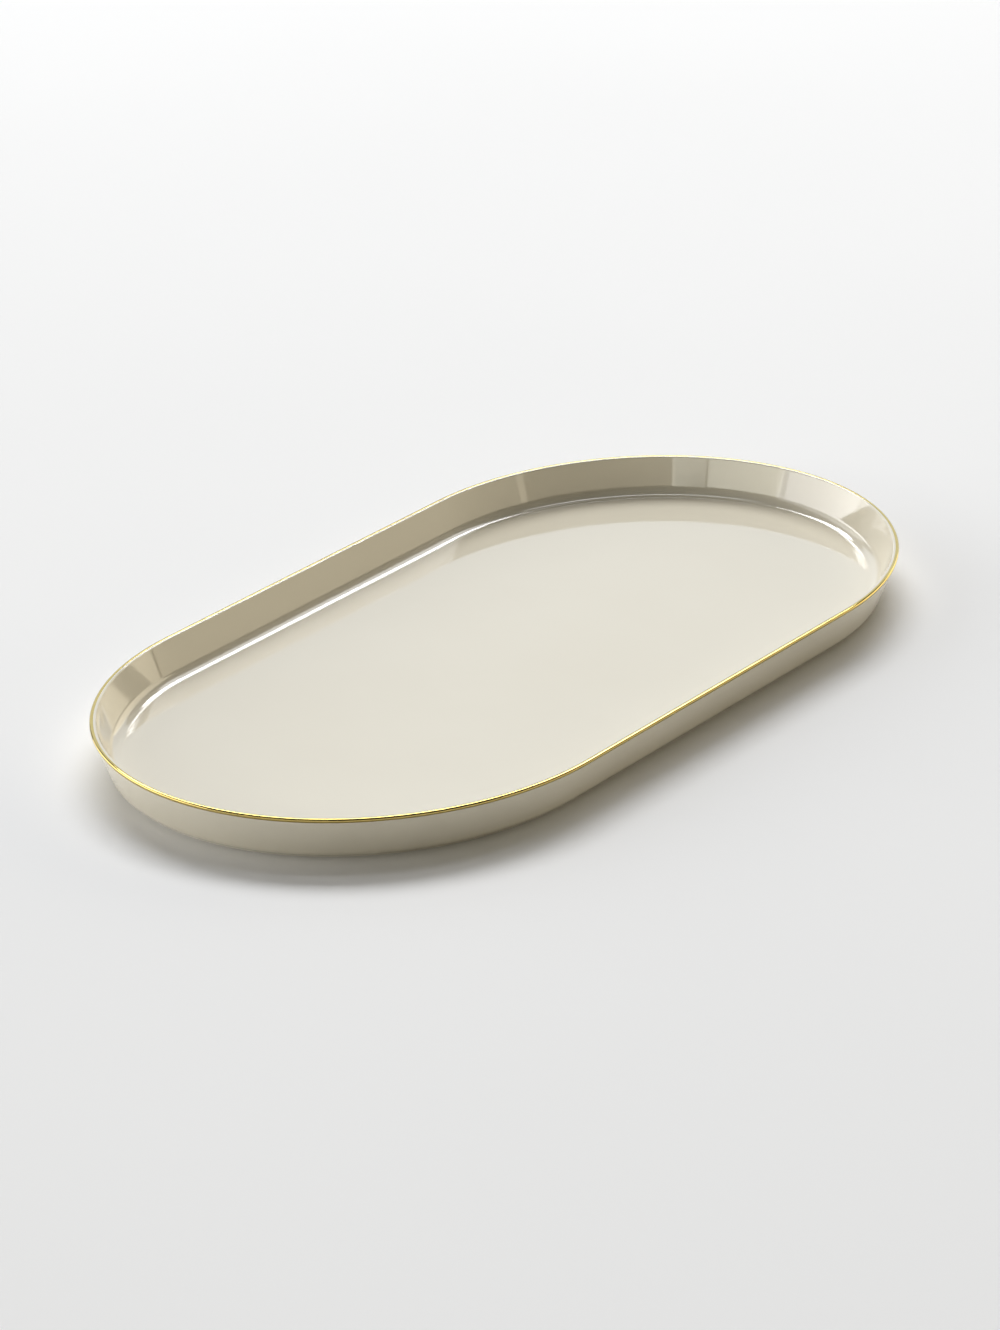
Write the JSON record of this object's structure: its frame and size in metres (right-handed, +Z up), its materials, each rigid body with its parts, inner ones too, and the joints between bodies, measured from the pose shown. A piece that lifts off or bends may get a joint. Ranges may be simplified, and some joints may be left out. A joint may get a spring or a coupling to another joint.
{
  "type": "oval tray",
  "caption": "Low oval serving or vanity tray in cream glazed porcelain, with straight long sides, round ends, a flared wall and a gold-lustred lip.",
  "frame": {"origin": "centre of the tray on the surface that it stands on", "axes": "+X along the length, +Y across the width, +Z up out of the well"},
  "size_m": [0.3, 0.15, 0.014],
  "materials": {
    "cream_glaze": "high-gloss cream glaze",
    "gold_lustre": "polished fired gold lustre",
    "bare_porcelain": "unglazed, ground smooth"
  },
  "bodies": {
    "root": {"tray_body": "cream_glaze", "gold_rim": "gold_lustre", "foot_ring": "bare_porcelain"}
  },
  "joints": []
}
